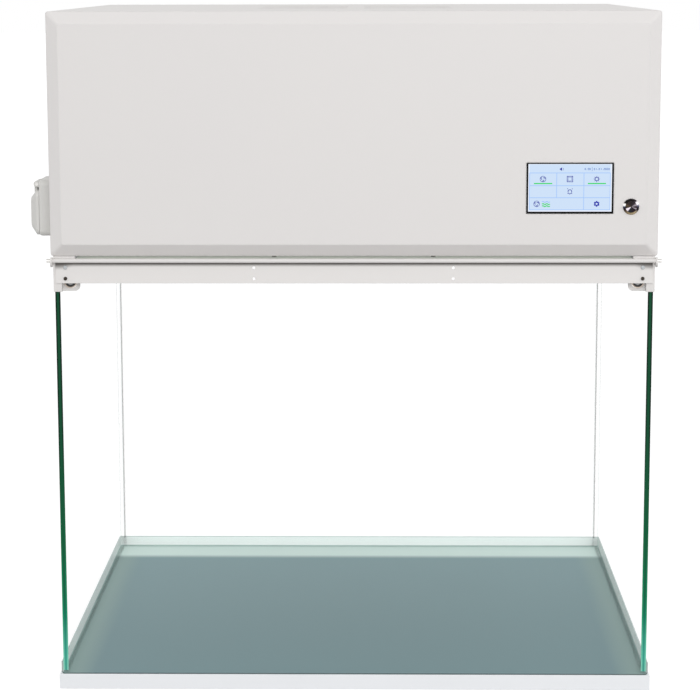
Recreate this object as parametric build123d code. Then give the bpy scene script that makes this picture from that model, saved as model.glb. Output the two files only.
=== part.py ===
from build123d import *
import math
import os

# Laminar flow hood: a glass work chamber on a laminated board, under a head that blows filtered air down.
# Millimetres. +X is to the right seen from the front, the front faces -Y, +Z is up.
# The origin is the centre of the base board's underside.

os.makedirs("parts", exist_ok=True)

# Base board and work tray
base_width = 700.0
base_depth = 590.0
base_thick = 18.0
base_edge_round = 0.8
tray_margin = 2.5
tray_sheet = 1.2
tray_upstand = 15.5
tray_bend = 3.5
tray_corner = 2.5
tray_front_margin = 2.0

# Glass panes
glass_thick = 6.0
pane_height = 495.0
glass_gap = 0.6
pane_front_margin = 5.0
setting_strip_thick = 2.3
setting_strip_width = 4.0
bead_size = 3.0
bead_top_gap = 0.3

# Channels round the tops of the panes
channel_sheet = 1.2
channel_height = 41.4
channel_outer_gap = 0.2
channel_tape = 1.1
pane_front_gap = 0.3
corner_tab_reach = 15.4
corner_tab_height = 29.7

# Front beam and its fittings
beam_sheet = 1.2
beam_end_inset = 2.7
beam_height = 27.6
beam_top_drop = 3.7
beam_flange = 12.0
beam_flange_inset = 29.4
beam_hole_radius = 1.8
beam_hole_x = 115.0
beam_hole_pitch = 12.7
beam_hole_drop = 9.6
beam_fitting_inset = 4.4
bumper_radius = 2.4
bumper_height = 2.0
bumper_drop = 9.0
beam_screw_radius = 2.1
beam_screw_head = 1.5
beam_screw_shank = 1.25
beam_screw_length = 4.4
beam_screw_drop = 22.0
beam_screw_slot = 0.7

# Front rail, its end plates and pins
rail_height = 4.5
rail_depth = 6.0
rail_nose = 1.8
rail_top_drop = 2.4
rail_end_clear = 0.2
rail_plate_radius = 5.8
rail_plate_thick = 2.0
rail_plate_drop = 6.3
rail_pin_radius = 2.25
rail_pin_length = 4.7
rail_pin_shank = 1.2
rail_pin_depth = 10.0

# Lamps
lamp_rear_room = 19.6
lamp_radius = 7.8
lamp_offset = 8.9
lamp_drop = 30.3
lamp_front_setback = 9.5
lamp_cap_length = 12.0
lamp_cap_radius = 7.6
lamp_insulator_radius = 5.8
lamp_insulator_recess = 0.8
lamp_hole_clear = 0.3
bracket_sheet = 1.2
bracket_width = 20.0
bracket_corner = 6.0
bracket_inset = 1.5
bracket_top_drop = 3.7
bracket_flange = 20.0
bracket_flange_height = 16.0

# Head housing
head_height = 280.3
head_sheet = 1.2
head_bend = 3.0
head_flange = 12.0
head_back_margin = 5.0
fit_gap = 0.3
panel_gap = 0.7

# Front cover
cover_bevel = 14.0
cover_raise = 10.0
cover_return = 14.0
cover_corner = 3.0
cover_proud = 5.0
cover_lug_x = 220.0
cover_lug_width = 40.0
cover_screw_x = 92.0
cover_screw_radius = 1.75
cover_screw_head = 1.6
cover_screw_shank = 1.5
cover_tab_width = 30.0

# Intake and prefilter
slot_length = 110.0
slot_width = 6.0
slot_pitch = 18.0
slot_rows = 12
slot_column_gap = 20.0
prefilter_side = 262.0
prefilter_thick = 20.0
prefilter_wall = 1.2
prefilter_lip = 10.0

# Fan
deck_drop = 54.8
deck_flange = 15.0
ring_throat = 73.0
ring_flange = 105.0
ring_sheet = 1.5
ring_depth = 22.0
ring_mouth_bend = 16.0
impeller_radius = 112.0
impeller_mouth = 76.0
impeller_height = 66.0
impeller_overlap = 4.0
shroud_sheet = 2.0
shroud_rise = 20.0
back_plate = 2.0
blade_count = 7
blade_thick = 2.2
blade_root = 62.0
blade_arc = 78.0
rotor_radius = 47.0
rotor_wall = 6.0
rotor_height = 46.0
rotor_skirt = 12.0
stator_clear = 3.0
stator_flange_radius = 44.0
stator_flange = 5.0
stator_lift = 5.0
shaft_radius = 5.0
shaft_clear = 0.05
bracket_plate = 3.0
spider_hub = 60.0
spider_arm = 24.0
pillar_radius = 5.0
pillar_circle_radius = 140.0
pillar_count = 4

# Fine filter and diffuser
filter_side_room = 43.8
filter_front_room = 16.3
filter_rear_room = 5.0
filter_height = 69.0
filter_wall = 14.0
filter_gasket = 5.0
gasket_width = 12.0
diffuser_sheet = 1.0
diffuser_columns = 5
diffuser_rows = 20
diffuser_slot_width = 12.0
diffuser_bridge = 12.0
pleat_count = 36
pleat_inset = 5.0
pleat_depth = 12.0
clamp_sheet = 1.5
clamp_width = 30.0
clamp_end_inset = 95.0
clamp_overlap = 10.0
clamp_rise = 25.0

# Touch screen and controller
screen_width = 98.9
screen_height = 57.8
screen_edge_inset = 102.5
screen_rise = 79.0
screen_glass = 1.8
screen_clear = 0.3
module_border = 4.0
module_depth = 12.0
controller_width = 118.0
controller_height = 78.0
controller_depth = 10.0

# Power pushbutton
button_edge_inset = 32.6
button_rise = 58.0
button_head_radius = 9.25
button_head = 2.0
button_body_radius = 8.0
button_body_length = 22.0
button_cap_radius = 6.6
button_cap_proud = 0.6
button_travel = 2.5
button_clear = 0.15
button_well = 8.0
button_nut_radius = 11.0
button_nut = 3.0

# Panel socket on the left wall
socket_setback = 43.7
socket_rise = 52.6
socket_plate_y = 56.0
socket_plate_z = 66.0
socket_corner = 7.0
socket_proud = 17.0
socket_barrel = 23.0
socket_barrel_depth = 20.0
socket_well = 20.0
socket_well_depth = 22.0
socket_contact_radius = 2.6
socket_contact_pitch = 19.0
insert_thick = 8.0
lid_y = 50.0
lid_z = 52.0
lid_bulge = 10.5
lid_edge = 3.5
lid_wall = 2.0
lid_drop = 6.0
lid_gap = 0.4
lid_pin_radius = 2.0
lid_pin_clear = 0.05
lid_knuckle = 3.6
lid_knuckle_length = 18.0
lid_ear_length = 6.0
lid_ear_gap = 0.3
lid_pin_drop = 6.0
lid_spring_length = 6.0
lid_spring_turns = 4
spring_wire = 1.3

# Power inlet and supply
inlet_edge_inset = 80.0
inlet_drop = 29.0
inlet_plate_x = 50.0
inlet_plate_z = 24.0
inlet_plate = 2.5
inlet_body_x = 28.0
inlet_body_z = 20.0
inlet_body_depth = 20.0
inlet_well_x = 24.4
inlet_well_z = 16.4
inlet_well_depth = 16.0
inlet_pin_x = 1.9
inlet_pin_z = 4.0
inlet_pin_pitch = 7.0
inlet_pin_length = 12.0
inlet_pin_rise = 2.0
supply_x = 120.0
supply_y = 100.0
supply_z = 32.0
supply_side_room = 19.0
supply_rear_room = 33.0
supply_round = 3.0

# Levels and places worked out from the values above
base_front = -base_depth / 2
base_back = base_depth / 2
tray_outer = base_width / 2 - tray_margin
tray_front = base_front + tray_front_margin
tray_back = base_back - tray_margin
tray_floor = base_thick + tray_sheet
pane_outer = tray_outer - tray_sheet - glass_gap
pane_inner = pane_outer - glass_thick
pane_front = base_front + pane_front_margin
back_outer = tray_back - tray_sheet - glass_gap
back_inner = back_outer - glass_thick
pane_bottom = tray_floor + setting_strip_thick
pane_top = pane_bottom + pane_height
head_bottom = pane_top + channel_sheet
head_top = head_bottom + head_height
channel_outer = pane_outer + channel_outer_gap + channel_sheet
channel_inner = pane_inner - channel_tape - channel_sheet
channel_bottom = head_bottom - channel_height
rear_channel_outer = back_outer + channel_outer_gap + channel_sheet
rear_channel_inner = back_inner - channel_outer_gap - channel_sheet
closure_back = pane_front - pane_front_gap
closure_front = closure_back - channel_sheet
beam_half = channel_outer - beam_end_inset
beam_fitting_x = channel_inner - beam_fitting_inset
beam_back = closure_front
beam_front = beam_back - beam_sheet
beam_top = head_bottom - beam_top_drop
beam_bottom = beam_top - beam_height
rail_top = head_bottom - rail_top_drop
rail_end = channel_outer + rail_end_clear
rail_centre_y = beam_front - rail_depth / 2
rail_plate_z = head_bottom - rail_plate_drop
lamp_x = channel_inner - lamp_offset
lamp_z = head_bottom - lamp_drop
lamp_front = beam_front + lamp_front_setback - bracket_inset
lamp_back = rear_channel_inner - lamp_rear_room
cover_face = base_front - cover_proud
cover_edge = cover_face + cover_raise
cover_back = cover_edge + cover_return
shell_front = cover_back + fit_gap
shell_back = base_back - head_back_margin
head_outer = base_width / 2
head_inner = head_outer - head_sheet
head_ceiling = head_top - head_sheet
floor_top = head_bottom + head_sheet
panel_front = shell_front + head_sheet
filter_half_x = head_inner - filter_side_room
filter_front = panel_front + head_sheet + filter_front_room
filter_back = shell_back - head_flange - filter_rear_room
filter_half_y = (filter_back - filter_front) / 2
fan_y = (filter_front + filter_back) / 2
cover_bottom = head_bottom + fit_gap
deck_top = head_top - deck_drop
deck_bottom = deck_top - head_sheet
ring_bottom = deck_bottom - ring_depth
impeller_top = ring_bottom + impeller_overlap
impeller_bottom = impeller_top - impeller_height
bracket_top = impeller_bottom - rotor_skirt - stator_lift - stator_flange
diffuser_top = floor_top + diffuser_sheet
filter_bottom = diffuser_top + filter_gasket
filter_top = filter_bottom + filter_height
screen_back = cover_face + head_sheet
module_back = screen_back + module_depth
screen_x = head_outer - screen_edge_inset
screen_z = cover_bottom + screen_rise
button_x = head_outer - button_edge_inset
button_z = cover_bottom + button_rise
socket_y = shell_front + socket_setback
socket_z = head_bottom + socket_rise
inlet_x = -head_outer + inlet_edge_inset
inlet_z = head_top - inlet_drop
socket_face = -head_outer - socket_proud
lid_pin_x = socket_face - lid_gap - lid_knuckle
lid_pin_z = socket_z + socket_plate_z / 2 - lid_pin_drop


def span(x0, x1, y0, y1, z0, z1):
    """A plain block between two corners."""
    middle = Pos((x0 + x1) / 2, (y0 + y1) / 2, (z0 + z1) / 2)
    return middle * Box(x1 - x0, y1 - y0, z1 - z0)


def prism_x(points, x0, x1):
    """A profile given as (y, z) points, extruded from x0 to x1."""
    return extrude(Plane.YZ.offset(x0) * Polygon(*points, align=None), x1 - x0, dir=(1, 0, 0))


def prism_y(points, y0, y1):
    """A profile given as (x, z) points, extruded from y0 to y1."""
    return extrude(Plane.XZ.offset(-y0) * Polygon(*points, align=None), y1 - y0, dir=(0, 1, 0))


def rod_x(radius, x0, x1, y, z):
    """A round bar along X."""
    return Pos((x0 + x1) / 2, y, z) * Rot(0, 90, 0) * Cylinder(radius, abs(x1 - x0))


def rod_y(radius, y0, y1, x, z):
    """A round bar along Y."""
    return Pos(x, (y0 + y1) / 2, z) * Rot(90, 0, 0) * Cylinder(radius, abs(y1 - y0))


def rod_z(radius, z0, z1, x, y):
    """A round bar along Z."""
    return Pos(x, y, (z0 + z1) / 2) * Cylinder(radius, abs(z1 - z0))


def both_sides(shape):
    """The shape and its mirror image on the other side, as separate solids."""
    return Compound(children=[shape, mirror(shape, about=Plane.YZ)])


def write(name, shape):
    """One sub-part, one file."""
    export_step(shape, f"parts/{name}.step")


# Base board: one laminated board with slightly broken edges
base_plate = span(-base_width / 2, base_width / 2, base_front, base_back, 0, base_thick)
base_plate = fillet(base_plate.edges(), base_edge_round)
write("base_plate", base_plate)


# Work tray: one folded sheet, open in front, its upstands outside the panes
def tray_block(inset, bottom, top, front, bend):
    block = span(-tray_outer + inset, tray_outer - inset, front, tray_back - inset, bottom, top)
    upright = block.edges().filter_by(Axis.Z).sort_by(Axis.Y)[2:]
    block = fillet(upright, bend - tray_bend + tray_corner)
    low = block.edges().group_by(Axis.Z)[0].sort_by(Axis.Y)[1:]
    return fillet(low, bend)


tray_top = base_thick + tray_upstand
tray_skin = tray_block(0, base_thick, tray_top, tray_front, tray_bend)
tray_hollow = tray_block(tray_sheet, tray_floor, tray_top + 1, tray_front - 1, tray_bend - tray_sheet)
write("work_tray", tray_skin - tray_hollow)


# Glass: two side panes, and the back pane bonded to their rear edges
def side_pane(sign):
    pane = span(pane_inner, pane_outer, pane_front, back_inner, pane_bottom, pane_top)
    return pane if sign > 0 else mirror(pane, about=Plane.YZ)


write("side_glass_right", side_pane(1))
write("side_glass_left", side_pane(-1))
write("back_glass", span(-pane_outer, pane_outer, back_inner, back_outer, pane_bottom, pane_top))

# Setting strips under the panes, clear of the tray's inner bend
strip_outer = tray_outer - tray_bend
side_strip = span(strip_outer - setting_strip_width, strip_outer, pane_front, back_inner, tray_floor, pane_bottom)
rear_strip_back = tray_back - tray_bend
rear_strip = span(-pane_inner, pane_inner, rear_strip_back - setting_strip_width, rear_strip_back,
                  tray_floor, pane_bottom)
write("glass_setting_strips", Compound(children=[side_strip, mirror(side_strip, about=Plane.YZ), rear_strip]))

# Sealant beads in the rear corners, with a hollow face
bead_points = Polyline((pane_inner, back_inner - bead_size), (pane_inner, back_inner), (pane_inner - bead_size, back_inner))
bead_face = make_face(bead_points + ThreePointArc(
    (pane_inner - bead_size, back_inner),
    (pane_inner - bead_size * 0.36, back_inner - bead_size * 0.36),
    (pane_inner, back_inner - bead_size)))
corner_bead = Pos(0, 0, pane_bottom) * extrude(bead_face, channel_bottom - bead_top_gap - pane_bottom)
write("corner_seals", both_sides(corner_bead))


# Side channels: a folded section over the pane's top edge, closed in front by a plate with an inward tab
def side_channel():
    section = [
        (channel_inner, channel_bottom),
        (channel_inner, head_bottom),
        (channel_outer, head_bottom),
        (channel_outer, channel_bottom),
        (channel_outer - channel_sheet, channel_bottom),
        (channel_outer - channel_sheet, pane_top),
        (channel_inner + channel_sheet, pane_top),
        (channel_inner + channel_sheet, channel_bottom),
    ]
    body = prism_y(section, closure_back, rear_channel_inner)
    outer_leg_tail = span(channel_outer - channel_sheet, channel_outer, rear_channel_inner,
                          rear_channel_outer - channel_sheet, channel_bottom, pane_top)
    front = [
        (channel_outer, channel_bottom),
        (channel_outer, head_bottom),
        (channel_inner - corner_tab_reach, head_bottom),
        (channel_inner - corner_tab_reach, head_bottom - corner_tab_height),
        (channel_inner, head_bottom - corner_tab_height),
        (channel_inner, channel_bottom),
    ]
    plate = prism_y(front, closure_front, closure_back)
    plate -= rod_y(beam_screw_shank + shaft_clear, closure_front, closure_back, beam_fitting_x,
                   head_bottom - beam_top_drop - beam_screw_drop)
    return body + outer_leg_tail + plate


channel = side_channel()
write("side_channel_right", channel)
write("side_channel_left", mirror(channel, about=Plane.YZ))

# Rear channel: the same section across the back pane, notched where the side panes and channels run in
rear_section = [
    (rear_channel_inner, channel_bottom),
    (rear_channel_inner, head_bottom),
    (rear_channel_outer, head_bottom),
    (rear_channel_outer, channel_bottom),
    (rear_channel_outer - channel_sheet, channel_bottom),
    (rear_channel_outer - channel_sheet, pane_top),
    (rear_channel_inner + channel_sheet, pane_top),
    (rear_channel_inner + channel_sheet, channel_bottom),
]
rear_channel = prism_x(rear_section, -channel_outer, channel_outer)
rear_notch = span(channel_inner, channel_outer, rear_channel_inner, back_inner, channel_bottom, head_bottom)
write("rear_channel", rear_channel - rear_notch - mirror(rear_notch, about=Plane.YZ))

# Front beam: a folded channel with two pairs of holes
beam_section = [
    (beam_front, beam_bottom),
    (beam_front, beam_top),
    (beam_back + beam_flange, beam_top),
    (beam_back + beam_flange, beam_top - beam_sheet),
    (beam_back, beam_top - beam_sheet),
    (beam_back, beam_bottom),
]
front_beam = prism_x(beam_section, -beam_half, beam_half)
beam_notch = span(beam_half - beam_flange_inset, beam_half + 1, beam_back, beam_back + beam_flange + 1,
                  beam_bottom - 1, beam_top + 1)
front_beam -= beam_notch
front_beam -= mirror(beam_notch, about=Plane.YZ)
flange_half = beam_half - beam_flange_inset
front_beam += span(-flange_half, flange_half, beam_back, beam_back + beam_flange, beam_bottom, beam_bottom + beam_sheet)
for side in (-1, 1):
    for row in (0, 1):
        hole_z = beam_top - beam_hole_drop - row * beam_hole_pitch
        front_beam -= rod_y(beam_hole_radius, beam_front, beam_back, side * beam_hole_x, hole_z)
    front_beam -= rod_y(beam_screw_shank + shaft_clear, beam_front, beam_back, side * beam_fitting_x,
                        beam_top - beam_screw_drop)
write("front_beam", front_beam)

# Bumpers: low domes on the beam's face
bumper = rod_y(bumper_radius, beam_front - bumper_height, beam_front, beam_fitting_x, beam_top - bumper_drop)
bumper = fillet(bumper.edges().sort_by(Axis.Y)[0], bumper_height * 0.6)
write("beam_bumpers", both_sides(bumper))

# Beam screws: slotted heads, shanks through the beam and the corner tab
screw_z = beam_top - beam_screw_drop
beam_screw = rod_y(beam_screw_radius, beam_front - beam_screw_head, beam_front, beam_fitting_x, screw_z)
beam_screw -= Pos(beam_fitting_x, beam_front - beam_screw_head, screw_z) * Box(
    3 * beam_screw_radius, beam_screw_head, beam_screw_slot)
beam_screw += rod_y(beam_screw_shank, beam_front, beam_front + beam_screw_length, beam_fitting_x, screw_z)
write("beam_screws", both_sides(beam_screw))

# Front rail: a bar with a rounded nose, bored at its ends for the pins
rail_face = Plane.YZ.offset(-rail_end) * Pos(rail_centre_y, rail_top - rail_height / 2) * Rectangle(
    rail_depth, rail_height)
rail_face = fillet(rail_face.vertices().group_by(Axis.Y)[0], rail_nose)
front_rail = extrude(rail_face, 2 * rail_end)
pin_z = rail_top - rail_height / 2
for side in (-1, 1):
    front_rail -= rod_x(rail_pin_shank + shaft_clear, side * (rail_end - rail_pin_depth), side * rail_end,
                        rail_centre_y, pin_z)
write("front_rail", front_rail)

# Rail end plates: small discs outside the channels, bored for the pins
end_plate = rod_x(rail_plate_radius, rail_end, rail_end + rail_plate_thick, rail_centre_y, rail_plate_z)
end_plate -= rod_x(rail_pin_shank + shaft_clear, rail_end, rail_end + rail_plate_thick, rail_centre_y, pin_z)
write("rail_end_plates", both_sides(end_plate))

# Rail pins: a round head outside the plate, a shank into the rail
pin_start = rail_end + rail_plate_thick
rail_pin = rod_x(rail_pin_radius, pin_start, pin_start + rail_pin_length, rail_centre_y, pin_z)
rail_pin += rod_x(rail_pin_shank, rail_end - rail_pin_depth + 1, pin_start, rail_centre_y, pin_z)
write("rail_pins", both_sides(rail_pin))


# Lamp brackets: an upright plate with a hole for the lamp, and a flange on the channel's inner leg
def lamp_bracket(plate_y, direction):
    left = channel_inner - bracket_width
    top = head_bottom - bracket_top_drop
    outline = Plane.XZ.offset(-plate_y) * Polygon(
        (left, channel_bottom), (channel_inner, channel_bottom), (channel_inner, top), (left, top), align=None)
    corner = outline.vertices().group_by(Axis.Z)[0].sort_by(Axis.X)[0]
    outline = fillet(corner, bracket_corner)
    plate = extrude(outline, bracket_sheet, dir=(0, 1, 0))
    plate -= rod_y(lamp_radius + lamp_hole_clear, plate_y, plate_y + bracket_sheet, lamp_x, lamp_z)
    ends = sorted((plate_y, plate_y + direction * bracket_flange))
    flange = span(channel_inner - bracket_sheet, channel_inner, ends[0], ends[1],
                  top - bracket_flange_height, top)
    return plate + flange


front_bracket = lamp_bracket(lamp_front + bracket_inset, 1)
rear_bracket = lamp_bracket(lamp_back - bracket_inset - bracket_sheet, -1)
write("lamp_bracket_front_right", front_bracket)
write("lamp_bracket_front_left", mirror(front_bracket, about=Plane.YZ))
write("lamp_bracket_rear_right", rear_bracket)
write("lamp_bracket_rear_left", mirror(rear_bracket, about=Plane.YZ))

# Lamps: a frosted tube, a metal cap at each end with an insulating disc in it
tube = rod_y(lamp_radius, lamp_front + lamp_cap_length, lamp_back - lamp_cap_length, lamp_x, lamp_z)
write("lamp_tube_right", tube)
write("lamp_tube_left", mirror(tube, about=Plane.YZ))
cap = rod_y(lamp_cap_radius, lamp_front, lamp_front + lamp_cap_length, lamp_x, lamp_z)
cap -= rod_y(lamp_insulator_radius, lamp_front, lamp_front + lamp_cap_length / 2, lamp_x, lamp_z)
disc = rod_y(lamp_insulator_radius, lamp_front + lamp_insulator_recess, lamp_front + lamp_cap_length / 2,
             lamp_x, lamp_z)
middle_of_lamp = Plane.XZ.offset(-(lamp_front + lamp_back) / 2)
front_caps = [cap, mirror(cap, about=Plane.YZ)]
rear_caps = [mirror(shape, about=middle_of_lamp) for shape in front_caps]
write("lamp_end_caps", Compound(children=front_caps + rear_caps))
front_discs = [disc, mirror(disc, about=Plane.YZ)]
rear_discs = [mirror(shape, about=middle_of_lamp) for shape in front_discs]
write("lamp_insulators", Compound(children=front_discs + rear_discs))


# Housing shell: top and side walls folded from one sheet, with a flange round the front opening
def shell_block(inset, front, back):
    block = span(-head_outer + inset, head_outer - inset, front, back, head_bottom, head_top - inset)
    bends = block.edges().filter_by(Axis.Y).group_by(Axis.Z)[-1]
    return fillet(bends, head_bend - inset)


housing_shell = shell_block(0, shell_front, shell_back) - shell_block(head_sheet, panel_front, shell_back + 1)
housing_shell -= span(-head_inner + head_flange, head_inner - head_flange, shell_front - 1, panel_front + 1,
                      head_bottom - 1, head_ceiling - head_flange)
slot_face = SlotOverall(slot_length, slot_width)
slot_x = (slot_length + slot_column_gap) / 2
slots = Sketch() + GridLocations(2 * slot_x, slot_pitch, 2, slot_rows) * slot_face
housing_shell -= Pos(0, fan_y, head_ceiling - 1) * extrude(slots, head_sheet + 2)
housing_shell -= rod_x(socket_barrel + fit_gap, -head_outer - 1, -head_inner + 1, socket_y, socket_z)
write("housing_shell", housing_shell)

# Rear panel: a shallow folded lid inside the shell, cut for the power inlet
panel_half = head_inner - panel_gap
panel_top = head_ceiling - panel_gap
rear_panel = span(-panel_half, panel_half, shell_back - head_flange, shell_back, floor_top, panel_top)
rear_hollow = span(-panel_half + head_sheet, panel_half - head_sheet, shell_back - head_flange - 1,
                   shell_back - head_sheet, floor_top + head_sheet, panel_top - head_sheet)
rear_panel -= rear_hollow
rear_panel -= span(inlet_x - inlet_body_x / 2 - fit_gap, inlet_x + inlet_body_x / 2 + fit_gap,
                   shell_back - head_sheet - 1, shell_back + 1,
                   inlet_z - inlet_body_z / 2 - fit_gap, inlet_z + inlet_body_z / 2 + fit_gap)
write("rear_panel", rear_panel)

# Inner front panel: closes the pressure chamber behind the cover
deck_front = panel_front + head_sheet + fit_gap
write("inner_front_panel", span(-panel_half, panel_half, panel_front, panel_front + head_sheet, floor_top, panel_top))

# Head floor: a frame round the air outlet, with two tabs that the cover is screwed to
outlet_x = filter_half_x - filter_wall
outlet_y = filter_half_y - filter_wall
floor_back = shell_back
head_floor = span(-head_inner, head_inner, shell_front, floor_back, head_bottom, floor_top)
head_floor -= span(-outlet_x, outlet_x, fan_y - outlet_y, fan_y + outlet_y, head_bottom - 1, floor_top + 1)
flange_notch = span(head_inner - head_flange, head_inner, shell_front, panel_front, head_bottom, floor_top)
head_floor -= flange_notch
head_floor -= mirror(flange_notch, about=Plane.YZ)
tab_bottom = cover_bottom + head_sheet + fit_gap
tab_front = cover_edge + head_sheet + fit_gap
cover_screw_y = (tab_front + cover_back) / 2
for side in (-1, 1):
    middle = side * cover_screw_x
    riser = span(middle - cover_tab_width / 2, middle + cover_tab_width / 2, shell_front,
                 shell_front + head_sheet, head_bottom, tab_bottom + head_sheet)
    tongue = span(middle - cover_tab_width / 2, middle + cover_tab_width / 2, tab_front,
                  shell_front + head_sheet, tab_bottom, tab_bottom + head_sheet)
    head_floor += riser + tongue
    head_floor -= rod_z(cover_screw_shank + shaft_clear, tab_bottom, tab_bottom + head_sheet, middle, cover_screw_y)
write("head_floor", head_floor)


# Front cover: one folded pan with a bevelled border, locating lugs at the top and screw holes at the bottom
def cover_pan(inset, face_y, back_y):
    width = 2 * (head_outer - inset)
    height = head_top - cover_bottom - 2 * inset
    middle = (head_top + cover_bottom) / 2
    corner = cover_corner - inset
    edge = Plane.XZ.offset(-cover_edge) * Pos(0, middle) * RectangleRounded(width, height, corner)
    bevel = cover_bevel - inset * 0.6
    face = Plane.XZ.offset(-face_y) * Pos(0, middle) * RectangleRounded(width - 2 * bevel, height - 2 * bevel, corner)
    return loft([edge, face]) + extrude(edge, back_y - cover_edge, dir=(0, 1, 0))


front_cover = cover_pan(0, cover_face, cover_back) - cover_pan(head_sheet, screen_back, cover_back + 1)
screen_half_x = screen_width / 2 + screen_clear
screen_half_z = screen_height / 2 + screen_clear
front_cover -= span(screen_x - screen_half_x, screen_x + screen_half_x, cover_face - 1, screen_back + 1,
                    screen_z - screen_half_z, screen_z + screen_half_z)
front_cover -= rod_y(button_body_radius + button_clear, cover_face - 1, screen_back + 1, button_x, button_z)
lug_top = head_ceiling - head_flange - fit_gap
for side in (-1, 1):
    middle = side * cover_lug_x
    arm = span(middle - cover_lug_width / 2, middle + cover_lug_width / 2, screen_back - head_sheet / 2,
               panel_front - fit_gap, lug_top - head_sheet, lug_top)
    front_cover += arm
    hole_x = side * cover_screw_x
    front_cover -= rod_z(cover_screw_shank + shaft_clear, cover_bottom - 1, cover_bottom + head_sheet + 1,
                         hole_x, cover_screw_y)
write("front_cover", front_cover)

# Cover screws: heads under the cover's bottom return
screw_head = rod_z(cover_screw_radius + 1, cover_bottom - cover_screw_head, cover_bottom, cover_screw_x, cover_screw_y)
screw_shank = rod_z(cover_screw_shank, cover_bottom, tab_bottom + 3 * head_sheet, cover_screw_x, cover_screw_y)
write("cover_screws", both_sides(screw_head + screw_shank))

# Diffuser grille: a slotted sheet on the floor frame, under the filter
column_pitch = (2 * outlet_x - diffuser_bridge) / diffuser_columns
row_pitch = (2 * outlet_y - diffuser_bridge) / diffuser_rows
diffuser = Pos(0, fan_y) * Rectangle(2 * filter_half_x, 2 * filter_half_y)
windows = Sketch() + GridLocations(column_pitch, row_pitch, diffuser_columns, diffuser_rows) * Rectangle(
    column_pitch - diffuser_bridge, diffuser_slot_width)
diffuser -= Pos(0, fan_y) * windows
write("diffuser_grille", Pos(0, 0, floor_top) * extrude(diffuser, diffuser_sheet))

# Fine filter: gasket, frame and pleat pack
filter_outline = Pos(0, fan_y) * Rectangle(2 * filter_half_x, 2 * filter_half_y)
gasket_inside = Rectangle(2 * (filter_half_x - gasket_width), 2 * (filter_half_y - gasket_width))
gasket_face = filter_outline - Pos(0, fan_y) * gasket_inside
write("filter_gasket", Pos(0, 0, diffuser_top) * extrude(gasket_face, filter_gasket))
frame_face = filter_outline - Pos(0, fan_y) * Rectangle(2 * outlet_x, 2 * outlet_y)
write("filter_frame", Pos(0, 0, filter_bottom) * extrude(frame_face, filter_height))
pleat_pitch = outlet_x / pleat_count
pleat_low = filter_bottom + pleat_inset
pleat_high = filter_top - pleat_inset - pleat_depth
upper_line = []
for fold in range(2 * pleat_count + 1):
    fold_z = pleat_high if fold % 2 else pleat_low
    upper_line.append((-outlet_x + fold * pleat_pitch, fold_z + pleat_depth))
lower_line = [(x, z - pleat_depth) for x, z in reversed(upper_line)]
write("filter_pleats", prism_y(upper_line + lower_line, fan_y - outlet_y, fan_y + outlet_y))

# Filter clamps: folded brackets from the side walls onto the frame
clamp_section = [
    (filter_half_x - clamp_overlap, filter_top),
    (head_inner, filter_top),
    (head_inner, filter_top + clamp_rise),
    (head_inner - clamp_sheet, filter_top + clamp_rise),
    (head_inner - clamp_sheet, filter_top + clamp_sheet),
    (filter_half_x - clamp_overlap, filter_top + clamp_sheet),
]
clamps = []
for middle in (filter_front + clamp_end_inset, filter_back - clamp_end_inset):
    clamp = prism_y(clamp_section, middle - clamp_width / 2, middle + clamp_width / 2)
    clamps += [clamp, mirror(clamp, about=Plane.YZ)]
write("filter_clamps", Compound(children=clamps))

# Fan deck: a folded tray between the suction side and the pressure chamber
deck_back = shell_back - head_flange - fit_gap
deck_half = head_inner
fan_deck = span(-deck_half, deck_half, deck_front, deck_back, deck_top - deck_flange, deck_top)
fan_deck -= span(-deck_half + head_sheet, deck_half - head_sheet, deck_front + head_sheet, deck_back - head_sheet,
                 deck_top - deck_flange - 1, deck_bottom)
fan_deck -= rod_z(ring_throat + ring_mouth_bend, deck_bottom - 1, deck_top + 1, 0, fan_y)
write("fan_deck", fan_deck)

# Inlet ring: a spun bell mouth on the deck, its nozzle reaching into the impeller
def mouth_line(radius, throat, top):
    """The bell mouth's curve from its flat edge down to the throat, in three chords of a quarter circle."""
    middle = throat + radius
    turns = [math.radians(angle) for angle in (90, 120, 150, 180)]
    return [(middle + radius * math.cos(turn), top - radius + radius * math.sin(turn)) for turn in turns]


lower_curve = mouth_line(ring_mouth_bend, ring_throat, deck_top)
upper_curve = mouth_line(ring_mouth_bend + ring_sheet, ring_throat - ring_sheet, deck_top + ring_sheet)
ring_profile = [(ring_flange, deck_top)] + lower_curve + [(ring_throat, ring_bottom)]
ring_profile += [(ring_throat - ring_sheet, ring_bottom)] + upper_curve[::-1] + [(ring_flange, deck_top + ring_sheet)]
inlet_ring = Pos(0, fan_y, 0) * revolve(Plane.XZ * Polygon(*ring_profile, align=None), Axis.Z)
write("inlet_ring", inlet_ring)


# Impeller: back plate, rotor cup, backward-curved blades and a shroud that flares into the mouth
def blade(index):
    """One blade: an arc strip from the root circle to the tip circle, leaning back against the turn."""
    start = Vector(blade_root, 0)
    sweep_angle = math.radians(58)
    tip_radius = impeller_radius - 1
    end = Vector(tip_radius * math.cos(sweep_angle), tip_radius * math.sin(sweep_angle))
    line = RadiusArc(start, end, blade_arc)
    strip = trace(line, blade_thick)
    height = impeller_height - back_plate / 2 - shroud_sheet
    solid = extrude(strip, height)
    return Pos(0, 0, impeller_bottom + back_plate / 2) * Rot(0, 0, 360 / blade_count * index) * solid


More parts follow.
